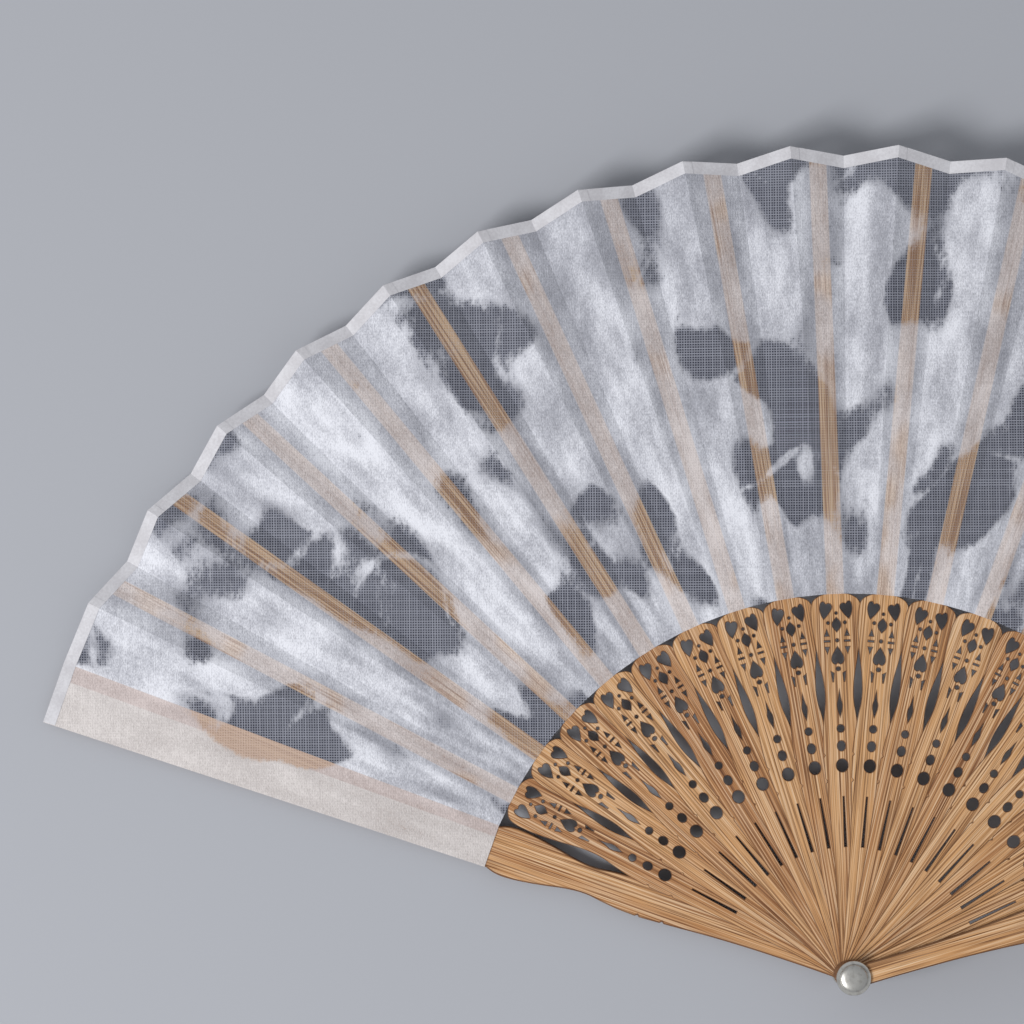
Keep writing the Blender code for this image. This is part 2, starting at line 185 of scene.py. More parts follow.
class Wire:
    """One output in a material's net of nodes, which can be used in sums like a number."""

    def __init__(self, tree, socket=None):
        self.tree = tree
        self.socket = socket

    def node(self, kind, settings, values, out=0):
        """A node with its settings, and with a value or a link for each of its sockets."""
        made = self.tree.nodes.new("ShaderNode" + kind)
        for name, value in settings.items():
            if name == "stops":
                self.set_stops(made.color_ramp.elements, value)
            else:
                setattr(made, name, value)
        for key, value in values.items():
            if isinstance(value, Wire):
                self.tree.links.new(value.socket, made.inputs[key])
            else:
                made.inputs[key].default_value = value
        return Wire(self.tree, made.outputs[out])

    @staticmethod
    def set_stops(elements, stops):
        for index, (place, colour) in enumerate(stops):
            stop = elements[index] if index < len(elements) else elements.new(place)
            stop.position = place
            stop.color = (*colour, 1)

    def maths(self, operation, *values):
        return self.node("Math", {"operation": operation}, dict(enumerate(values)))

    def __add__(self, other):
        return self.maths("ADD", self, other)

    def __sub__(self, other):
        return self.maths("SUBTRACT", self, other)

    def __rsub__(self, other):
        return self.maths("SUBTRACT", other, self)

    def __mul__(self, other):
        return self.maths("MULTIPLY", self, other)

    def __truediv__(self, other):
        return self.maths("DIVIDE", self, other)

    __radd__ = __add__

    def rises(self, low, high):
        """0 below low and 1 above high, with a soft step between."""
        settings = {"interpolation_type": "SMOOTHSTEP", "clamp": True}
        return self.node("MapRange", settings, {"Value": self, "From Min": low, "From Max": high})

    def attribute(self, name):
        """The number that the mesh keeps under this name at each of its points."""
        return self.node("Attribute", {"attribute_name": name}, {}, out="Fac")

    def own_map(self, name):
        """The place on one of the piece's own maps."""
        return self.node("UVMap", {"uv_map": name}, {})

    def vector(self, operation, *values, out="Vector"):
        return self.node("VectorMath", {"operation": operation}, dict(enumerate(values)), out)

    def stretched(self, grain, shift=None):
        """This place, scaled by the two numbers of a grain, and moved by a shift."""
        scaled = self.vector("MULTIPLY", self, (*grain, 1))
        return self.vector("ADD", scaled, shift) if shift else scaled

    def noise(self, detail, rough=0.5, scale=1.0):
        """Cloudy numbers from 0 to 1 over this place."""
        values = {"Vector": self, "Scale": scale, "Detail": detail, "Roughness": rough}
        return self.node("TexNoise", {"noise_dimensions": "2D"}, values)

    def mix(self, first, second):
        """The first colour where this is 0, and the second where it is 1."""
        first = first if isinstance(first, Wire) else (*first, 1)
        second = second if isinstance(second, Wire) else (*second, 1)
        values = {MIX_FACTOR: self, MIX_FIRST: first, MIX_SECOND: second}
        return self.node("Mix", {"data_type": "RGBA"}, values, MIX_RESULT)

    def bump(self, strength, depth):
        """A normal, as if this were the height of the surface in shares of the depth."""
        return self.node("Bump", {}, {"Strength": strength, "Distance": depth, "Height": self})


print("shader maths is ready")

# %% [markdown]
# ## A new finish
# Every finish starts alike, with a material, its shader and an empty wire, and ends with links to the
# shader's sockets.

# %% A new finish


def new_finish(name):
    material = bpy.data.materials.new(name)
    material.use_nodes = True
    return material, material.node_tree.nodes["Principled BSDF"], Wire(material.node_tree)


def plug(shader, links):
    """Links wires to the shader's sockets."""
    for name, wire in links.items():
        wire.tree.links.new(wire.socket, shader.inputs[name])


print("a finish can start")

# %% [markdown]
# ## Bamboo
# Split bamboo shows its fibres as fine lines along the stick, some pale and some dark, on broader bands
# from straw to reddish tan. Each stick was cut from another strip, so each has its own tone. The cut edges
# are scorched brown. An image could be laid over each stick, but a sum of stretched noises never repeats.
# It reads the stick's own map, whose first number runs across the stick and whose second runs along it, and
# a grain says how many times the noise changes in a metre each way.

# %% Bamboo finish
STRAW = (0.66, 0.36, 0.155)
TAN = (0.49, 0.235, 0.092)
RUSSET = (0.33, 0.13, 0.046)
FIBRE_PALE = (0.82, 0.60, 0.40)
FIBRE_DARK = (0.13, 0.05, 0.02)
SCORCHED = (0.125, 0.052, 0.022)
BAND_GRAIN = (420, 12)
LINE_GRAIN = (2700, 15)
FINE_GRAIN = (6400, 60)
GRAIN_DEPTH = 0.05 * MM
SHIFT_ACROSS = 37.0
SHIFT_ALONG = 91.0


def bamboo_finish(name):
    material, shader, start = new_finish(name)
    place = start.own_map("grain")
    tone, cut = start.attribute("tone"), start.attribute("cut")
    shift = start.node("CombineXYZ", {}, {"X": tone * SHIFT_ACROSS, "Y": tone * SHIFT_ALONG})
    bands = place.stretched(BAND_GRAIN, shift).noise(3.0)
    lines = place.stretched(LINE_GRAIN, shift).noise(2.0)
    fine = place.stretched(FINE_GRAIN, shift).noise(1.0)
    warm = (bands * 0.55 + tone * 0.45 + lines * 0.45).rises(0.5, 1.1)
    ramp = {"stops": [(0.0, STRAW), (0.45, TAN), (1.0, RUSSET)]}
    colour = start.node("ValToRGB", ramp, {0: warm})
    pale = (1 - lines).rises(0.54, 0.64) * 0.5 + (1 - fine).rises(0.55, 0.66) * 0.3
    colour = pale.mix(colour, FIBRE_PALE)
    dark = lines.rises(0.54, 0.63) * 0.55 + fine.rises(0.56, 0.67) * 0.45
    colour = dark.mix(colour, FIBRE_DARK)
    colour = (cut * (0.72 + fine * 0.3)).mix(colour, SCORCHED)
    rough = 0.46 + dark * 0.3 + cut * 0.2
    shader.inputs["Specular IOR Level"].default_value = 0.3
    plug(shader, {"Base Color": colour, "Roughness": rough, "Normal": (1 - dark).bump(0.5, GRAIN_DEPTH)})
    return material


bamboo = bamboo_finish("split bamboo")
print("made", bamboo.name)

# %% [markdown]
# ## Flat pierced plates
# A stick is a thin flat slat with many holes. The holes could be cut one by one with a Boolean, but a
# filled curve makes them all at once: the outline and its holes are drawn as loops and filled between. The
# curve's own bevel rounds the rims, and each point is marked as a sharp corner or a smooth one. An inset
# then draws a second line a little inside every rim: the scorched brown of the cut fades out between the
# two. The loops are in millimetres, across the stick and out from the rivet.

# %% Plates from outlines
RIM = 0.11
SCORCH_W = 0.16
CURVE_STEPS = 4


def plate(name, loops, thickness, rim):
    """A bmesh of a plate on z = 0, from loops of (across, out, sharp) in millimetres."""
    curve = bpy.data.curves.new(name, "CURVE")
    curve.dimensions = "2D"
    curve.fill_mode = "BOTH"
    curve.extrude = (thickness / 2 - rim) * MM
    curve.bevel_depth = rim * MM
    curve.bevel_resolution = 1
    curve.offset = -rim * MM
    curve.resolution_u = CURVE_STEPS
    for loop in loops:
        spline = curve.splines.new("BEZIER")
        spline.bezier_points.add(len(loop) - 1)
        spline.use_cyclic_u = True
        for point, (across, out, sharp) in zip(spline.bezier_points, loop):
            point.co = (across * MM, out * MM, 0)
            point.handle_left_type = point.handle_right_type = "VECTOR" if sharp else "AUTO"
    guide = bpy.data.objects.new(name, curve)
    bpy.context.scene.collection.objects.link(guide)
    mesh = bpy.data.meshes.new_from_object(guide.evaluated_get(bpy.context.evaluated_depsgraph_get()))
    bpy.data.objects.remove(guide)
    shape = bmesh.new()
    shape.from_mesh(mesh)
    bpy.data.meshes.remove(mesh)
    bmesh.ops.remove_doubles(shape, verts=shape.verts, dist=TINY)
    bmesh.ops.translate(shape, verts=shape.verts, vec=(0, 0, thickness / 2 * MM))
    bmesh.ops.recalc_face_normals(shape, faces=shape.faces)
    scorch(shape, thickness * MM)
    return shape


def scorch(shape, thickness):
    """Marks the walls and rims with 1, and each flat face with 0 from a line a little inside its border."""
    cut = shape.verts.layers.float.new("cut")
    for vertex in shape.verts:
        vertex[cut] = 1
    for height in (0, thickness):
        flat = [f for f in shape.faces if all(abs(v.co.z - height) < TINY for v in f.verts)]
        inset = bmesh.ops.inset_region(shape, faces=flat, thickness=SCORCH_W * MM, use_boundary=True)
        bmesh.ops.delete(shape, geom=flat, context="FACES")
        line = [edge for face in inset["faces"] for edge in face.edges if edge.is_boundary]
        for vertex in {vertex for edge in line for vertex in edge.verts}:
            vertex[cut] = 0
        bmesh.ops.triangle_fill(shape, edges=line, normal=(0, 0, 1), use_beauty=True)
    bmesh.ops.recalc_face_normals(shape, faces=shape.faces)


print("a rim of", RIM, "mm on each plate")

# %% [markdown]
# ## Loops
# Most loops are the same on both sides of the stick's middle line, so half of them is enough. A heart or a
# small triangle lies on one side, and its twin on the other side is the same loop flipped.

# %% Loops
OVAL_POINTS = 8


def mirrored(half):
    """A whole outline from its right half, listed from one end on the middle line to the other."""
    return list(half) + [(-x, y, sharp) for x, y, sharp in reversed(half) if x > 0]


def flipped(loop):
    return [(-x, y, sharp) for x, y, sharp in reversed(loop)]


def oval(across, out, width, length):
    turns = [2 * math.pi * step / OVAL_POINTS for step in range(OVAL_POINTS)]
    return [(across + width / 2 * math.sin(t), out + length / 2 * math.cos(t), False) for t in turns]


def corners(*points):
    return [(x, y, True) for x, y in points]


print(OVAL_POINTS, "points round each oval")

# %% [markdown]
# ## The outline and the piercings of a stick
# The stick has a round tail, a slim shank with two V notches a side, a waist and a broad head. The
# piercings are hearts, a lozenge, a spade, dots, bars, slants and small triangles, a needle, three eyes and
# a long slit. A point is (across, out, sharp), and a round hole is (across, out, width, length).

# %% Outline and piercings
TAIL_R = 4.0
TAIL_STEPS = 6
PIN_HOLE = (0, 0, 3.0, 3.0)
SHANK = ((2.602, 11.875, False), (3.1, 31.35, False), (4.221, 47.785, True), (3.812, 48.355, True),
         (4.303, 48.925, True), (4.649, 54.245, True), (4.199, 54.815, True), (4.649, 55.385, True),
         (4.498, 60.04, False), (4.101, 64.03, False), (3.547, 68.97, False), (3.969, 74.005, False),
         (4.952, 79.04, False), (5.802, 83.98, False), (6.3, 88.54, False), (6.269, 91.485, False))
STICK_HEAD = ((5.702, 93.385, False), (4.303, 94.497, False), (2.3, 95.152, False))
RIGHT_HEART = ((2.5, 92.4, True), (1.75, 92.62, False), (1.05, 91.95, False), (1.6, 90.55, False),
               (3.15, 88.75, True), (3.78, 90.1, False), (3.98, 91.95, False), (3.3, 93.1, False))
SPADE_HALF = ((0, 81.8, True), (0.8, 80.55, False), (1.45, 79.2, False), (1.35, 78.0, False),
              (0.6, 77.5, False), (0, 77.95, True))
LOZENGE_HALF = ((0, 89.1, True), (1.12, 87.35, False), (0, 85.5, True))
NEEDLE_HALF = ((0, 70.75, True), (0.3, 68.7, False), (0.64, 67.3, False), (0, 64.35, True))
SLIT = corners((-0.32, 31.9), (0.32, 31.9), (0.15, 44.4), (-0.15, 44.4))
UP_TRIANGLE = corners((1.95, 84.5), (2.52, 86.15), (3.1, 84.5))
DOWN_TRIANGLE = corners((1.97, 81.75), (3.12, 81.75), (2.54, 80.15))
BAR = corners((1.78, 83.04), (1.78, 83.42), (3.24, 83.42), (3.24, 83.04))
SLANT = corners((1.85, 75.65), (1.5, 73.1), (1.32, 73.1), (1.09, 75.2))
ROUND_HOLES = ((0, 90.2, 0.65, 0.65), (2.1, 87.8, 0.72, 0.72), (-2.1, 87.8, 0.72, 0.72),
               (0, 83.4, 0.8, 0.8), (0, 76.3, 1.1, 0.95), (0, 61.4, 1.8, 1.88),
               (0, 57.05, 2.03, 2.53), (0, 52.15, 2.9, 3.25), PIN_HOLE)


def tail():
    """The right half of the round tail, from its lowest point up to the shank."""
    end = math.pi - math.asin(SHANK[0][0] / TAIL_R)
    turns = [end * step / TAIL_STEPS for step in range(TAIL_STEPS + 1)]
    return [(TAIL_R * math.sin(t), -TAIL_R * math.cos(t), t == end) for t in turns]


def stick_loops():
    loops = [mirrored(tail() + list(SHANK) + list(STICK_HEAD))]
    for loop in (RIGHT_HEART, UP_TRIANGLE, DOWN_TRIANGLE, BAR, SLANT):
        loops += [loop, flipped(loop)]
    loops += [mirrored(half) for half in (SPADE_HALF, LOZENGE_HALF, NEEDLE_HALF)]
    loops.append(SLIT)
    loops += [oval(*hole) for hole in ROUND_HOLES]
    return loops


print(len(stick_loops()) - 1, "holes in each stick, its pin's among them")

# %% [markdown]
# ## Where the leaf runs
# The leaf is one sheet that folds up and down, more towards its outer edge. Each stick carries the panel
# between a ridge on its left and a valley on its right, and a free panel climbs from that valley to the
# next ridge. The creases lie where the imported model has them, but a little lower on the sticks and closer
# under the right guard, so that the cloth has more room when the fan closes.

# %% Lines of the leaf
STICKS = 18
PITCH = math.radians(7.487)
END_PITCH = math.radians(8.43)
FIRST_ANGLE = -PITCH * (STICKS - 1) / 2
GUARD_ANGLE = FIRST_ANGLE - END_PITCH
CREASE = PITCH / 4
INNER_R = 95 * MM
OUTER_R = 207 * MM
TIP_R = 211.6 * MM
FLARE = 4.5 * MM
FLARE_POWER = 3
VALLEY_DIP = 2.75 * MM
PLEAT_RISE = 1.8 * MM
STICK_T = 0.7 * MM
STICK_STEP = 1.0 * MM
FIRST_STICK_Z = 4.4 * MM
LEAF_LEVEL = 0.78 * MM
GUARD_T = 2.2 * MM
GUARD_LOW_Z = 1.9 * MM
GUARD_HIGH_Z = 22.4 * MM
LOW_RELIEF = 1.35 * MM
HIGH_RELIEF = 2.4 * MM
GUARD_ROOT_W = 10.7 * MM
GUARD_TIP_W = 15.6 * MM
LEFT_GLUE_GAP = 0.15 * MM
RIGHT_GLUE_GAP = 0.02 * MM
LEAF_T = 0.15 * MM
print(STICKS, "sticks at", round(math.degrees(PITCH), 3), "degrees, guards at",
      round(math.degrees(-GUARD_ANGLE), 2), "degrees to each side")

# %% [markdown]
# ## Places on the fan
# A place is found from its distance from the rivet, its angle from the middle of the fan and its height. A
# line of the leaf is given by two points, its inner and its outer end.

# %% Places on the fan


def ramp_up(radius):
    """0 at the leaf's inner edge and 1 at its outer edge."""
    return (radius - INNER_R) / (OUTER_R - INNER_R)


def edge_radius(angle):
    """How far out the leaf reaches at an angle, more towards the guards."""
    return OUTER_R + FLARE * abs(angle / FIRST_ANGLE) ** FLARE_POWER


def stick_angle(number):
    return FIRST_ANGLE + PITCH * (number - 1)


def stick_level(number):
    return FIRST_STICK_Z + STICK_STEP * (number - 1)


def polar(radius, angle, height):
    return Vector((radius * math.sin(angle), radius * math.cos(angle), height))


def crease_line(number, side):
    """The ridge (side -1) or valley (side 1) of a stick's panel: its inner and its outer end."""
    angle = stick_angle(number) + side * CREASE
    level = stick_level(number) + LEAF_LEVEL
    outer = edge_radius(angle) - (VALLEY_DIP if side > 0 else 0)
    ends = (INNER_R, outer)
    return tuple(polar(r, angle, level - side * PLEAT_RISE * ramp_up(r)) for r in ends)


def between(first, second, share):
    """A line at a share of the way from one line to another."""
    return tuple(a.lerp(b, share) for a, b in zip(first, second))


def guard_line(angle, side, level, relief):
    """A line along a guard at its left edge (side -1) or its right edge (side 1), rising by the relief."""
    line = []
    for width, out in ((GUARD_ROOT_W, INNER_R), (GUARD_TIP_W, TIP_R)):
        point = Vector((side * width / 2, out, level + relief * ramp_up(out)))
        line.append(Matrix.Rotation(-angle, 3, "Z") @ point)
    return tuple(line)


def left_line(side):
    return guard_line(GUARD_ANGLE, side, GUARD_LOW_Z + GUARD_T + LEFT_GLUE_GAP + LEAF_T / 2, -LOW_RELIEF)


def right_line(side):
    return guard_line(-GUARD_ANGLE, side, GUARD_HIGH_Z - RIGHT_GLUE_GAP - LEAF_T / 2, HIGH_RELIEF)


low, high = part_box("leaf_panel_09")
print("stick 9's panel spans z", round(low.z / MM, 2), "to", round(high.z / MM, 2), "mm, ridge end at",
      round(crease_line(9, -1)[1].z / MM, 2))

# %% [markdown]
# ## Eighteen sticks from one master
# The rib that carries the leaf is a thin strip joined on the head. A Boolean joins it, which is slow, so it
# is done once on a master stick. Each copy then has its rib stretched to its own length and twisted to the
# slope of its panel.

# %% Master stick
RIB_W = 4.3 * MM
RIB_T = 0.35 * MM
RIB_SINK = 0.05 * MM
RIB_ROOT = 1.5 * MM
RIB_ROWS = 24
RIB_RIM = 0.08 * MM
RIB_END_GAP = 3.3 * MM
HEAD_END = 95.2 * MM
FLAT = 0.999
HARD_ANGLE = math.radians(50)


def finish_faces(shape):
    """Flat faces keep crisp borders, and rounded rims are shaded smooth."""
    shape.normal_update()
    for face in shape.faces:
        face.smooth = True
    for edge in shape.edges:
        flat = any(abs(face.normal.z) > FLAT for face in edge.link_faces)
        edge.smooth = not flat and edge.calc_face_angle(0) < HARD_ANGLE


def rib_shape(length):
    """The straight flat rib, from its root in the head to its end."""
    shape = bmesh.new()
    bmesh.ops.create_grid(shape, x_segments=1, y_segments=RIB_ROWS, size=0.5)
    bmesh.ops.scale(shape, verts=shape.verts, vec=(RIB_W, length + RIB_ROOT, 1))
    middle = INNER_R - RIB_ROOT + (length + RIB_ROOT) / 2
    bmesh.ops.translate(shape, verts=shape.verts, vec=(0, middle, STICK_T - RIB_SINK - RIB_T))
    made = bmesh.ops.extrude_face_region(shape, geom=shape.faces[:], use_keep_orig=True)
    top = [item for item in made["geom"] if isinstance(item, bmesh.types.BMVert)]
    bmesh.ops.translate(shape, verts=top, vec=(0, 0, RIB_T))
    bmesh.ops.recalc_face_normals(shape, faces=shape.faces)
    corner_edges = [edge for edge in shape.edges if edge.calc_face_angle(0) > HARD_ANGLE]
    rims = [edge for edge in corner_edges if abs(edge.verts[0].co.y - edge.verts[1].co.y) > TINY]
    bmesh.ops.bevel(shape, geom=rims, offset=RIB_RIM, segments=2, profile=0.5, affect="EDGES", material=-1)
    return shape


def master_stick():
    length = edge_radius(FIRST_ANGLE) - INNER_R
    body = object_from("stick master", plate("stick plate", stick_loops(), STICK_T / MM, RIM))
    rib = object_from("rib master", rib_shape(length))
    union = body.modifiers.new("rib", "BOOLEAN")
    union.operation = "UNION"
    union.solver = "EXACT"
    union.object = rib
    mesh = bpy.data.meshes.new_from_object(body.evaluated_get(bpy.context.evaluated_depsgraph_get()))
    bpy.data.objects.remove(rib)
    bpy.data.objects.remove(body)
    return mesh, length


master, master_length = master_stick()
print("the master stick has", len(master.polygons), "faces")

# %% [markdown]
# ## Grain map and tone
# Before a slat is turned into its place, its map is read from its own flat position, so the grain runs
# along every slat. Each slat also gets one number for its tone.

# %% Place a slat
TONES = (0.62, 0.30, 0.55, 0.18, 0.70, 0.36, 0.12, 0.50, 0.28,
         0.05, 0.44, 0.22, 0.60, 0.34, 0.15, 0.52, 0.40, 0.25)
GUARD_TONES = (0.48, 0.38)


def map_slat(mesh, tone):
    """Keeps the place across and along the slat as a map, and its tone as a number."""
    grain = mesh.uv_layers.new(name="grain")
    for loop in mesh.loops:
        grain.data[loop.index].uv = mesh.vertices[loop.vertex_index].co.xy
    shade = mesh.attributes.new("tone", "FLOAT", "POINT")
    shade.data.foreach_set("value", [tone] * len(mesh.vertices))


def place_slat(obj, angle, height, tone, body):
    map_slat(obj.data, tone)
    obj.data.transform(Matrix.Translation((0, 0, height)) @ Matrix.Rotation(-angle, 4, "Z"))
    obj.data.materials.append(bamboo)
    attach(obj, body)


def make_stick(number):
    """One pierced stick with its rib stretched and twisted to the leaf's panel."""
    shape = bmesh.new()
    shape.from_mesh(master)
    cut = shape.verts.layers.float["cut"]
    end = edge_radius(stick_angle(number)) - VALLEY_DIP / 2 - RIB_END_GAP
    stretch = (end - INNER_R) / master_length
    for vertex in shape.verts:
        if vertex.co.y > HEAD_END:
            radius = INNER_R + (vertex.co.y - INNER_R) * stretch
            slope = -PLEAT_RISE * ramp_up(radius) / (radius * math.tan(CREASE))
            vertex.co.y = radius
            vertex.co.z += slope * vertex.co.x
            vertex[cut] = 0
    finish_faces(shape)
    stick = object_from(f"pierced_stick_{number:02d}", shape)
    node = f"stick_{number:02d}"
    place_slat(stick, stick_angle(number), stick_level(number), TONES[number - 1], node)
    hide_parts(node)
    return stick


sticks = [make_stick(number) for number in range(1, STICKS + 1)]
bpy.data.meshes.remove(master)
print(len(sticks), "sticks,", sum(len(s.data.polygons) for s in sticks), "faces")

# %% [markdown]
# ## The two guards
# A guard is a plain slat, three times as thick as a stick, with the sticks' outline up to the leaf and a
# long straight bar along it. The closed pleats need room, so the left guard's top falls towards the tip,
# and the right guard's underside rises, with its top bowed up a little. Each is cut as a plate with broader
# rims, divided where the slope starts, and then sloped.

# %% Guards
GUARD_RIM = 0.3
GUARD_BOW = 1.2 * MM
GUARD_HEAD = ((5.859, 93.433, False), (5.468, 94.497, True), (5.35, 95.8, True))
GUARD_TIP = ((7.8, 209.7, False), (7.55, 210.25, False), (7.0, 210.5, False))


def make_guard(name, node, angle, height, low_rise, high_rise, tone):
    """A guard whose underside and top rise by these heights from the leaf's inner edge to its outer edge."""
    loops = [mirrored(tail() + list(SHANK) + list(GUARD_HEAD) + list(GUARD_TIP)), oval(*PIN_HOLE)]
    shape = plate(name, loops, GUARD_T / MM, GUARD_RIM)
    everything = shape.verts[:] + shape.edges[:] + shape.faces[:]
    bmesh.ops.bisect_plane(shape, geom=everything, plane_co=(0, INNER_R, 0), plane_no=(0, 1, 0))
    for vertex in shape.verts:
        share = max(0, ramp_up(vertex.co.y))
        up = vertex.co.z / GUARD_T
        vertex.co.z += share * (high_rise * up + low_rise * (1 - up))
    finish_faces(shape)
    guard = object_from(name, shape)
    place_slat(guard, angle, height, tone, node)
    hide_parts(node)
    return guard


guards = [
    make_guard("bamboo_guard_left", "guard_left", GUARD_ANGLE, GUARD_LOW_Z, 0, -LOW_RELIEF, GUARD_TONES[0]),
    make_guard("bamboo_guard_right", "guard_right", -GUARD_ANGLE, GUARD_HIGH_Z, HIGH_RELIEF, GUARD_BOW,
               GUARD_TONES[1]),
]
print("guards:", [len(g.data.polygons) for g in guards], "faces")

# %% [markdown]
# ## Rivet and washers
# A fan's rivet is a soft steel pin whose two ends are spread into low domes over thin washers. Its polish
# leaves fine rings round the middle, and handling leaves dull stains.

# %% Steel finish
STEEL = (0.60, 0.585, 0.55)
STAINED_STEEL = (0.36, 0.34, 0.31)
RING_GRAIN = 9000
STAIN_GRAIN = 700
RING_DEPTH = 0.02 * MM


def steel_finish():
    material, shader, start = new_finish("brushed steel")
    place = start.node("TexCoord", {}, {}, out="Object")
    radius = start.vector("LENGTH", start.vector("MULTIPLY", place, (1, 1, 0)), out="Value")
    values = {"W": radius * RING_GRAIN, "Scale": 1.0, "Detail": 2.0}
    rings = start.node("TexNoise", {"noise_dimensions": "1D"}, values)
    stains = place.noise(3.0, scale=STAIN_GRAIN)
    colour = (stains.rises(0.45, 0.7) * 0.5).mix(STEEL, STAINED_STEEL)
    rough = 0.26 + rings * 0.14 + stains * 0.12
    shader.inputs["Metallic"].default_value = 1.0
    plug(shader, {"Base Color": colour, "Roughness": rough, "Normal": rings.bump(0.3, RING_DEPTH)})
    return material


steel = steel_finish()
print("made", steel.name)

# %% [markdown]
# ## Turning
# A turned piece is a profile spun round the axis. The rivet's profile starts and ends on the axis, and a
# washer's is a closed ring. Profiles are in millimetres, as (radius, height).

# %% Turned metal
SPIN_STEPS = 64
PIN_R = 1.2
HEAD_H = 0.9
TOP_HEAD_Z = 25.6
HEAD_ARC = ((3.4, 0.0), (3.4, 0.22), (3.28, 0.42), (2.95, 0.62), (2.45, 0.77), (1.9, 0.86), (1.2, HEAD_H),
            (0.0, HEAD_H))
WASHER_RING = ((1.5, 0.06), (1.56, 0.0), (4.2, 0.0), (4.3, 0.1), (4.3, 0.3), (4.2, 0.4), (1.56, 0.4),
               (1.5, 0.34))
LOW_WASHER_Z = 1.2
HIGH_WASHER_Z = 24.9


def turned(name, profile, closed, node):
    """A solid of revolution round the rivet's axis from (radius, height) points in millimetres."""
    shape = bmesh.new()
    points = [shape.verts.new((r * MM, 0, z * MM)) for r, z in profile]
    pairs = list(zip(points, points[1:])) + ([(points[-1], points[0])] if closed else [])
    edges = [shape.edges.new(pair) for pair in pairs]
    bmesh.ops.spin(shape, geom=points + edges, cent=(0, 0, 0), axis=(0, 0, 1), angle=2 * math.pi,
                   steps=SPIN_STEPS, use_merge=True, use_duplicate=False)
    bmesh.ops.remove_doubles(shape, verts=shape.verts, dist=TINY)
    bmesh.ops.recalc_face_normals(shape, faces=shape.faces)
    finish_faces(shape)
    obj = object_from(name, shape)
    obj.data.materials.append(steel)
    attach(obj, "guard_left")
    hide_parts(node)
    return obj


top_arc = [(r, TOP_HEAD_Z + z) for r, z in HEAD_ARC]
low_arc = [(r, HEAD_H - z) for r, z in reversed(HEAD_ARC)]
pin = [(PIN_R, HEAD_H), (PIN_R, TOP_HEAD_Z)]
turned("steel_rivet", low_arc + pin + top_arc, False, "rivet")
for name, base in (("washer_lower", LOW_WASHER_Z), ("washer_upper", HIGH_WASHER_Z)):
    ring = [(r, base + z) for r, z in WASHER_RING]
    turned("steel_" + name, ring, True, name)
print("rivet from 0 to", TOP_HEAD_Z + HEAD_H, "mm")

# %% [markdown]
# ## Sheer cloth
# The leaf is a gauze with drifts of matted fibre on it. Where the fibre is thick the cloth is a soft white,
# and where it is thin only the open weave is left: what lies behind shows through, dimmed by a painted
# dark shade in the gaps of the weave. How thick it is at each place comes from an attribute of the mesh,
# and so does the depth inside a rib's or a guard's border: cloth that is glued on bamboo takes on some of
# its colour, and a painted shadow darkens it a little just beside a rib.
# The weave and the specks are read from a flat map of the leaf in metres, so they run on from pleat to
# pleat. Transparent cloth could be a mix of two shaders, but one Alpha socket does the same and survives
# the export.

# %% Cloth finish
CLOTH_COLOUR = (0.50, 0.505, 0.56)
CLOTH_BRIGHT = (0.83, 0.835, 0.89)
# The next colour is a painted shadow, laid on the cloth just beside each rib.
PAINTED_RIB_SHADE = (0.33, 0.335, 0.39)
THREAD = (0.36, 0.37, 0.43)
# The next colour is a painted dark shade, laid in the gaps of the weave in a window.
PAINTED_GAP_SHADE = (0.02, 0.024, 0.05)
RIB_TINT = (0.78, 0.66, 0.60)
GUARD_TINT = (0.68, 0.575, 0.545)
HEM_TINT = (0.77, 0.72, 0.70)
GUARD_BARE = (0.62, 0.46, 0.375)
STRAND_PALE = (0.91, 0.665, 0.44)
STRAND_DARK = (0.45, 0.26, 0.15)
WARP = 0.64 * MM
SKEW = 0.03
SPECK_GRAIN = (3400, 1500)
MATTED_GRAIN = (760, 420)
CREASE_GRAIN = (480, 26)
STRAND_GRAIN = (2600, 30)
SOAKED_GRAIN = (70, 60)
WEAVE_DEPTH = 0.12 * MM
MOST_ALPHA = 0.97


def threads(flat, x, y):
    """One set of parallel threads, each of its own strength."""
    count = flat.vector("DOT_PRODUCT", flat, (x, y, 0), out="Value") / WARP
    own = flat.node("TexWhiteNoise", {"noise_dimensions": "1D"}, {"W": count.maths("FLOOR", count)})
    wave = count.maths("PINGPONG", count, 0.5) * 2
    return wave.rises(0.4, 0.7) * (own * 0.35 + 0.65)


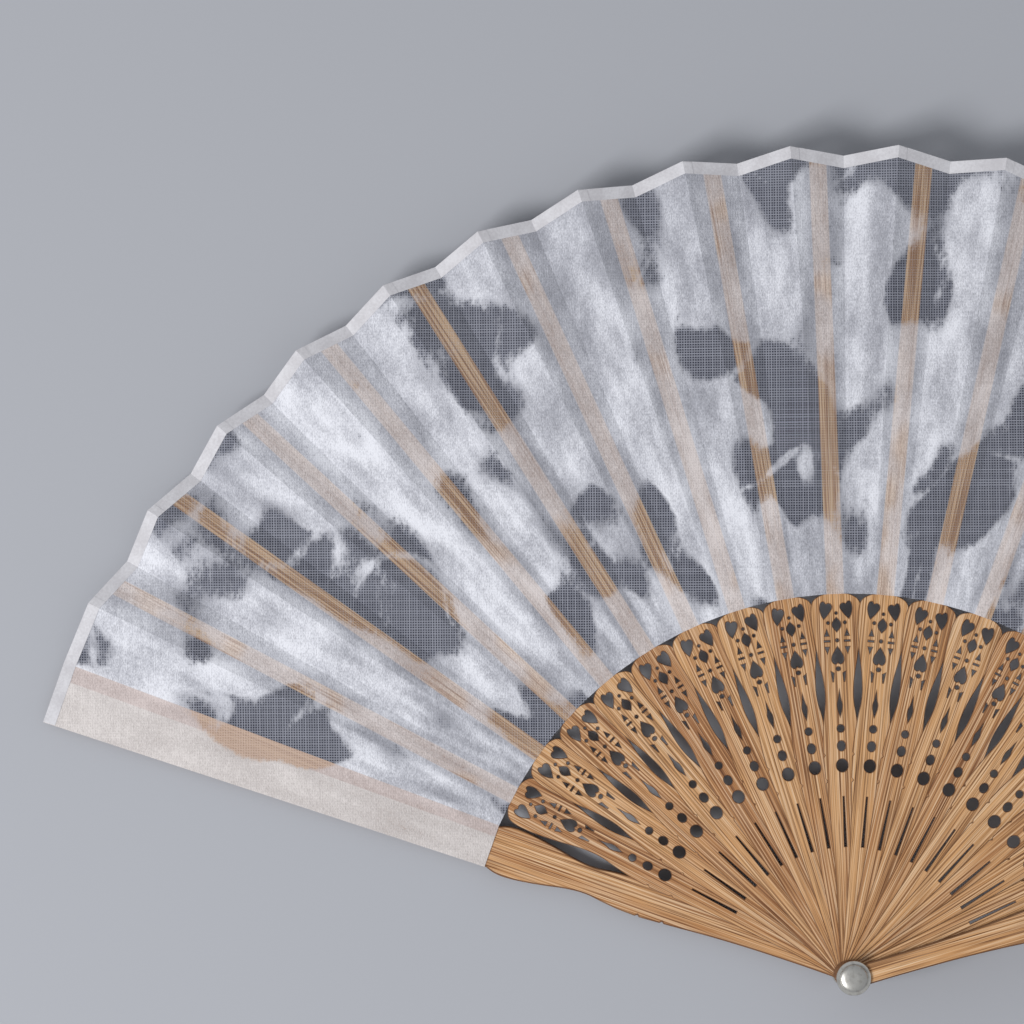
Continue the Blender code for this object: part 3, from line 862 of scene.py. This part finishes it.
def cloth_finish(name, colour, bright, density):
    material, shader, start = new_finish(name)
    flat, fan = start.own_map("flat"), start.own_map("fan")
    drift, mist = start.attribute("drift"), start.attribute("mist")
    rib, guard, hem = start.attribute("rib"), start.attribute("guard"), start.attribute("hem")

    # The fibre, and the threads of the gauze under it.
    specks = flat.stretched(SPECK_GRAIN).noise(2.0, 0.6)
    matted = flat.stretched(MATTED_GRAIN).noise(2.0, 0.6)
    creases = fan.stretched(CREASE_GRAIN).noise(1.5, 0.6)
    thin = (drift + (matted - 0.5) * 0.3 + (specks - 0.5) * 0.2).rises(-0.14, 0.1)
    weave = threads(flat, 1.0, SKEW)
    weave = weave.maths("MAXIMUM", weave, threads(flat, -SKEW, 1.0))
    fibre = density + (specks - 0.5) * 0.7 + (matted - 0.5) * 0.35 + mist * 0.4 + (creases - 0.5) * 0.15

    # The bamboo that the cloth is glued on.
    strands = fan.stretched(STRAND_GRAIN).noise(2.0)
    bamboo_tint = strands.rises(0.36, 0.62).mix(STRAND_PALE, STRAND_DARK)
    soaked = fan.stretched(SOAKED_GRAIN).noise(1.0).rises(0.5, 0.75)
    on_rib, on_guard = rib.rises(-0.2, 0.15), guard.rises(-0.1, 0.1)
    # A band up to 3.5 mm outside each rib's border, where a painted shadow darkens the cloth.
    beside = rib.rises(-3.5, 0.0) * (1 - on_rib)
    glued = on_rib.maths("MAXIMUM", on_rib, on_guard)

    # How much of the cloth there is to see.
    gauze = 0.36 + weave * 0.3 + on_guard * 0.24 + on_rib * 0.03
    alpha = (1 - thin) * (fibre + weave * 0.04) + thin * gauze
    alpha = alpha.maths("MINIMUM", alpha, MOST_ALPHA)

    # Its colour under fibre, on a rib, on a guard, under the hem, and in a window.
    shine = (creases * 0.3 + matted * 0.4 + specks * 0.7 + mist * 0.8).rises(0.15, 1.25)
    # The painted shadow beside the ribs is mixed in first.
    tone = (beside * 0.3).mix(shine.mix(colour, bright), PAINTED_RIB_SHADE)
    tone = (on_rib * (0.6 - (strands - 0.5) * 0.8)).mix(tone, RIB_TINT)
    tone = (on_rib * (soaked * 0.5 + (strands - 0.5) * 1.2)).mix(tone, bamboo_tint)
    tone = (on_guard * 0.9).mix(tone, GUARD_TINT)
    tone = (on_guard * hem.rises(-0.15, 0.15) * 0.9).mix(tone, HEM_TINT)
    # In a window the gaps of the weave hold a painted dark shade, so the window reads darker than the floor
    # behind.
    bare = (glued * (0.92 - weave * 0.3)).mix(weave.mix(PAINTED_GAP_SHADE, THREAD), bamboo_tint)
    bare = (on_guard * (0.65 + weave * 0.25)).mix(bare, GUARD_BARE)
    tone = thin.mix(tone, bare)
    height = weave * 0.4 + matted * (1 - thin) * 0.8 + specks * 0.4
    shader.inputs["Roughness"].default_value = 0.9
    shader.inputs["Specular IOR Level"].default_value = 0.2
    plug(shader, {"Base Color": tone, "Alpha": alpha, "Normal": height.bump(0.6, WEAVE_DEPTH)})
    return material


leaf_cloth = cloth_finish("sheer leaf cloth", CLOTH_COLOUR, CLOTH_BRIGHT, 0.72)
hem_cloth = cloth_finish("hem cloth", GUARD_TINT, HEM_TINT, 0.85)
print("made", leaf_cloth.name, "and", hem_cloth.name)

# %% [markdown]
# ## Drifts of fibre
# A cloud is a sum of two smooth noises, the second finer and weaker. It is drawn longer along the sticks
# than across them. A rope of fibre is the narrow band where another cloud is near nothing. Windows of bare
# gauze are left where the first cloud is highest and no rope runs. Both could be noise nodes of the
# material, but numbers kept on the mesh are easy to look into, and to turn off on the hems.

# %% Drifts
OCTAVES = 2
FINER = 2
WEAKER = 1.9
CLOUD = (18 * MM, 30 * MM, 51.3)
ROPE = (26 * MM, 26 * MM, 44.2)
SWELL = (13 * MM, 13 * MM, 14.6)
FINE_MIST = (5 * MM, 14 * MM, 5.1)
BROAD_MIST = (30 * MM, 45 * MM, 9.4)
WINDOW_LEVEL = 0.2
WINDOW_EDGE = 1.6
ROPE_WIDTH = 0.07
ROPE_EDGE = 1.8


def cloud(across, along, kind):
    """A smooth sum of noises from about -1 to 1, of a kind (size across, size along, seed)."""
    size_across, size_along, seed = kind
    place = Vector((across / size_across, along / size_along, seed))
    return sum(noise.noise(place * FINER ** k) / WEAKER ** k for k in range(OCTAVES))


def drift_at(across, along):
    """Above 0 in a window of bare gauze, and below 0 under fibre."""
    thinness = cloud(across, along, CLOUD) - WINDOW_LEVEL
    width = ROPE_WIDTH * (0.7 + cloud(across, along, SWELL) * 2)
    return min(thinness * WINDOW_EDGE, (abs(cloud(across, along, ROPE)) - width) * ROPE_EDGE)


def mist_at(across, along):
    """How much thicker or thinner the fibre is here."""
    return cloud(across, along, FINE_MIST) * 0.6 + cloud(across, along, BROAD_MIST) * 0.4


print("a window wherever the cloud is over", WINDOW_LEVEL)

# %% [markdown]
# ## Depths inside the bamboo's borders
# The cloth's finish needs to know where the bamboo lies behind it. A depth in millimetres is kept for each
# point: how far inside the border of the nearest rib, of the guard and of the guard's hem it is, below 0
# outside them.

# %% Depths
HEM_SHARE = 0.74
GUARD_MARGIN = 0.2 * MM
OUTSIDE = -1.0


def rib_depth(angle, radius, numbers):
    """How many millimetres inside a rib's border a place lies, below 0 outside every rib."""
    beside = min(abs(radius * math.sin(angle - stick_angle(n))) for n in numbers)
    return (RIB_W / 2 - beside) / MM


def guard_depths(angle, radius, number):
    """The same inside the border of the guard under the strip, and inside the border of its hem."""
    if 1 < number <= STICKS:
        return OUTSIDE, OUTSIDE
    side = -1 if number == 1 else 1
    half = GUARD_ROOT_W / 2 + (GUARD_TIP_W - GUARD_ROOT_W) / 2 * (radius - INNER_R) / (TIP_R - INNER_R)
    outwards = side * radius * math.sin(angle + side * GUARD_ANGLE)
    return (half + GUARD_MARGIN - abs(outwards)) / MM, (outwards - half * (1 - 2 * HEM_SHARE)) / MM


print("the middle of a rib is", round(rib_depth(FIRST_ANGLE, INNER_R, [1]), 2), "mm inside its border")

# %% [markdown]
# ## Strips of cloth
# The cloth has to fold with the sticks, and a piece can bend over one joint only. So the leaf is cut into
# nineteen strips that meet over the middle of each rib, where the cloth never bends. Each starts as a grid,
# and each column of its points is laid on a line from the inner to the outer edge. Real cloth is never
# quite flat, so tiny waves are added inside each strip.

# %% A strip of cloth
ROWS = 84
RIPPLE = 0.09 * MM
RIPPLE_GRAIN = 110


def strip_shape(lines, spans, rows, profile=None):
    """A grid over the lines. A profile gives (outward, lift) for each row instead of even rows."""
    stations = [lines[0]]
    for first, second, steps in zip(lines, lines[1:], spans):
        stations += [between(first, second, step / steps) for step in range(1, steps + 1)]
    rows = len(profile) - 1 if profile else rows
    columns = len(stations) - 1
    shape = bmesh.new()
    bmesh.ops.create_grid(shape, x_segments=columns, y_segments=rows, size=0.5)
    for vertex in shape.verts:
        column, row = round((vertex.co.x + 0.5) * columns), round((vertex.co.y + 0.5) * rows)
        inner, outer = stations[column]
        if profile:
            outward, lift = profile[row]
            vertex.co = outer + (outer - inner).normalized() * outward + Vector((0, 0, lift))
        else:
            vertex.co = inner.lerp(outer, row / rows)
    return shape


def ripple(shape):
    """Tiny waves, none at the strip's border."""
    for vertex in shape.verts:
        if not vertex.is_boundary:
            vertex.co.z += RIPPLE * noise.noise(vertex.co * RIPPLE_GRAIN)


print(ROWS, "rows in each strip")

# %% [markdown]
# ## Maps of a strip
# Each strip gets two maps. The flat one holds the place in the fan's plane, for the weave. The fan one
# holds the place across and along the sticks, for what runs with them. The drifts and depths become
# attributes.

# %% Cloth maps
FAN_MID_R = 150 * MM
SHARP = math.radians(16)


def map_cloth(mesh, number):
    """Gives a strip its maps, how thick its fibre is, and what is under it."""
    numbers = [n for n in (number - 1, number) if 1 <= n <= STICKS]
    facts = {"drift": [], "mist": [], "rib": [], "guard": [], "hem": []}
    for vertex in mesh.vertices:
        angle, radius = math.atan2(vertex.co.x, vertex.co.y), vertex.co.xy.length
        across = angle * FAN_MID_R
        facts["drift"].append(drift_at(across, radius))
        facts["mist"].append(mist_at(across, radius))
        facts["rib"].append(rib_depth(angle, radius, numbers))
        guard, hem = guard_depths(angle, radius, number)
        facts["guard"].append(guard)
        facts["hem"].append(hem)
    for name, values in facts.items():
        mesh.attributes.new(name, "FLOAT", "POINT").data.foreach_set("value", values)
    flat = mesh.uv_layers.new(name="flat")
    fan = mesh.uv_layers.new(name="fan")
    for loop in mesh.loops:
        place = mesh.vertices[loop.vertex_index].co
        flat.data[loop.index].uv = place.xy
        fan.data[loop.index].uv = (math.atan2(place.x, place.y) * FAN_MID_R, place.xy.length)


def cloth_piece(name, shape, number, thickness, material):
    """A piece of cloth with sharp creases, its maps and its thickness."""
    bmesh.ops.recalc_face_normals(shape, faces=shape.faces)
    for face in shape.faces:
        face.smooth = True
    for edge in shape.edges:
        edge.smooth = not edge.is_boundary and edge.calc_face_angle(0) < SHARP
    obj = object_from(name, shape)
    map_cloth(obj.data, number)
    obj.data.materials.append(material)
    wall = obj.modifiers.new("thickness", "SOLIDIFY")
    wall.thickness = thickness
    wall.offset = 0
    return obj


print("creases over", round(math.degrees(SHARP)), "degrees are shaded sharp")

# %% [markdown]
# ## Bending between two sticks
# Here the bend belongs between the valley and the ridge of one fold, which aren't parallel. One linear sum
# of x, y and z is 0 all along the valley and 1 all along the ridge, and the way in which it grows fastest
# gives the two points.

# %% Bend and widths


def crease_weight(valley, ridge):
    rows = [[*point, 1] for point in (*valley, *ridge)]
    *gradient, _ = np.linalg.solve(np.array(rows), np.array([0, 0, 1, 1]))
    gradient = Vector(gradient)
    return valley[0], valley[0] + gradient / gradient.length_squared


def widths(lines, end):
    """The flat width over all lines, at their inner ends (0) or outer ends (1)."""
    return sum((b[end] - a[end]).length for a, b in zip(lines, lines[1:]))


panel = crease_line(9, -1), crease_line(9, 1)
print("stick 9's panel is", round(widths(panel, 1) / MM, 1), "mm wide at its outer end")

# %% [markdown]
# ## The binding
# A narrow pale tape is folded over the cloth's outer edge and glued on both faces. It is made as a band a
# little thicker than the cloth, so that the cloth's edge lies inside it. At each ridge the tape of the free
# panel laps over onto the stick's panel. A profile gives (outward, lift) for each row of points.

# %% Binding tape
TAPE_COLOUR = (0.71, 0.70, 0.73)
TAPE_DULL = (0.56, 0.545, 0.57)
TAPE_W = 3.05 * MM
TAPE_T = 0.08 * MM
TAPE_LIFT = 0.13 * MM
TAPE_OVER = 0.05 * MM
BAND_T = 2 * TAPE_LIFT + TAPE_T
TAPE_PROFILE = ((-TAPE_W, 0), (-TAPE_W / 2, 0), (TAPE_OVER, 0))
TAB_SHARE = 0.16
TAB_LIFT = TAPE_LIFT + TAPE_T
TAB_PROFILE = ((-TAPE_W, TAB_LIFT), (-TAPE_W / 2, TAB_LIFT), (-TAPE_OVER, TAB_LIFT))
PULP_GRAIN = 1500
SHADE_GRAIN = 180
PULP_DEPTH = 0.06 * MM


def tape_finish():
    material, shader, start = new_finish("binding tape")
    flat = start.own_map("flat")
    pulp = flat.noise(4.0, 0.6, PULP_GRAIN)
    shade = flat.noise(2.0, scale=SHADE_GRAIN)
    colour = (shade * 0.5 + pulp * 0.5).rises(0.3, 0.75).mix(TAPE_DULL, TAPE_COLOUR)
    shader.inputs["Roughness"].default_value = 0.8
    plug(shader, {"Base Color": colour, "Normal": pulp.bump(0.4, PULP_DEPTH)})
    return material


tape = tape_finish()


def tape_tab(number):
    """The lap of the tape at a ridge: the free panel's tape runs over the ridge onto the stick's panel."""
    ridge, valley = crease_line(number, -1), crease_line(number, 1)
    shape = strip_shape((ridge, between(ridge, valley, TAB_SHARE)), (2,), 0, TAB_PROFILE)
    tab = cloth_piece(f"binding_tab_{number:02d}", shape, number, TAPE_T, tape)
    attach(tab, f"stick_{number:02d}")
    return tab


print("made", tape.name, "with a band", round(BAND_T / MM, 2), "mm thick")

# %% [markdown]
# ## The nineteen strips
# A strip runs from the middle of one stick's panel over the valley and the next ridge to the middle of the
# next panel. The first and the last strip start or end on a guard instead. The cloth and its tape lie on
# the same lines, so both bend by the same weights.

# %% Leaf
MIDDLE_SPANS = (5, 10, 5)
LEFT_SPANS = (12, 9, 5)
RIGHT_SPANS = (5, 9, 12)


def strip_plan(number):
    """Its four lines, the columns between them, its two bodies, and the nodes that it replaces."""
    before = f"stick_{number - 1:02d}" if number > 1 else "guard_left"
    after = f"stick_{number:02d}" if number <= STICKS else "guard_right"
    spans = MIDDLE_SPANS
    nodes = [f"leaf_panel_{number:02d}", f"leaf_fold_{number - 1:02d}"]
    if number == 1:
        start, valley, spans = left_line(-1), left_line(1), LEFT_SPANS
        nodes[1] = "leaf_end_left"
    else:
        start = between(crease_line(number - 1, -1), crease_line(number - 1, 1), 0.5)
        valley = crease_line(number - 1, 1)
    if number > STICKS:
        ridge, end, spans = right_line(-1), right_line(1), RIGHT_SPANS
        nodes = ["leaf_end_right"]
    else:
        ridge = crease_line(number, -1)
        end = between(ridge, crease_line(number, 1), 0.5)
    return (start, valley, ridge, end), spans, before, after, nodes


def make_strip(number):
    """A strip of the leaf and its tape, both bent between two bodies."""
    lines, spans, before, after, nodes = strip_plan(number)
    shape = strip_shape(lines, spans, ROWS)
    ripple(shape)
    strip = cloth_piece(f"leaf_strip_{number:02d}", shape, number, LEAF_T, leaf_cloth)
    band = strip_shape(lines, spans, 0, TAPE_PROFILE)
    edge = cloth_piece(f"binding_{number:02d}", band, number, BAND_T, tape)
    start, end = crease_weight(*lines[1:3])
    for piece in (strip, edge):
        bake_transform(piece, before, after, start=start, end=end)
    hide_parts(*nodes)
    tape_pieces = [edge, tape_tab(number)] if number <= STICKS else [edge]
    return strip, tape_pieces, lines


strips = [make_strip(number) for number in range(1, STICKS + 2)]
print(len(strips), "strips")

# %% [markdown]
# ## The hems on the guards
# At each end the cloth is turned under on the guard and glued, so it lies double there and looks creamier.
# The turned part is a strip between the leaf and the guard, and it runs on over the guard's outer side. It
# is half sunk in the guard, so that it takes little room in the closed fan, and it has no windows.

# %% Hems
HEM_T = 0.1 * MM
HEM_SINK = 0.005 * MM
HEM_SPANS = (6, 2)
SIDE_GAP = 0.1 * MM
SIDE_SHARE = 0.8
UNDER_FIBRE = -1.0


def make_hem(name, line, side, body, towards, gap, thinning):
    """The turned cloth at a guard's outer side. The guard lies below the leaf (-1) or above it (1)."""
    drop = gap + LEAF_T / 2 + HEM_SINK
    lines = (between(line(-side), line(side), 1 - HEM_SHARE), line(side))
    lines = tuple(tuple(p + Vector((0, 0, towards * drop)) for p in pair) for pair in lines)
    outward = [(q - p).normalized() * SIDE_GAP for p, q in zip(*lines)]
    rim = tuple(p + step for p, step in zip(lines[1], outward))
    depths = [(GUARD_T - thinning * ramp_up(radius)) * SIDE_SHARE - drop for radius in (INNER_R, TIP_R)]
    border = tuple(p + Vector((0, 0, towards * depth)) for p, depth in zip(rim, depths))
    shape = strip_shape((lines[0], rim, border), HEM_SPANS, ROWS)
    hem = cloth_piece(name, shape, 1 if side < 0 else STICKS + 1, HEM_T, hem_cloth)
    hem.data.attributes["drift"].data.foreach_set("value", [UNDER_FIBRE] * len(hem.data.vertices))
    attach(hem, body)
    return hem


hem_left = make_hem("hem_left", left_line, -1, "guard_left", -1, LEFT_GLUE_GAP, LOW_RELIEF)
hem_right = make_hem("hem_right", right_line, 1, "guard_right", 1, RIGHT_GLUE_GAP, HIGH_RELIEF - GUARD_BOW)
print("hems made")

# %% [markdown]
# ## What each sheet was cut from
# The flat size of every strip is printed.
# It is the width over its folds at the outer edge, by its longest line from the inner to the outer edge.

for number, (strip, tape_pieces, lines) in enumerate(strips, start=1):
    lengths = [(outer - inner).length for inner, outer in lines]
    inside, outside = widths(lines, 0), widths(lines, 1)
    pieces = tape_pieces + ([hem_left] if number == 1 else [hem_right] if number > STICKS else [])
    under = [f"pierced_stick_{n:02d}" for n in (number - 1, number) if 1 <= n <= STICKS]
    under += ["bamboo_guard_left"] if number == 1 else ["bamboo_guard_right"] if number > STICKS else []
    print(strip.name, "flat", round(outside / MM, 1), "x", round(max(lengths) / MM, 1), "mm")
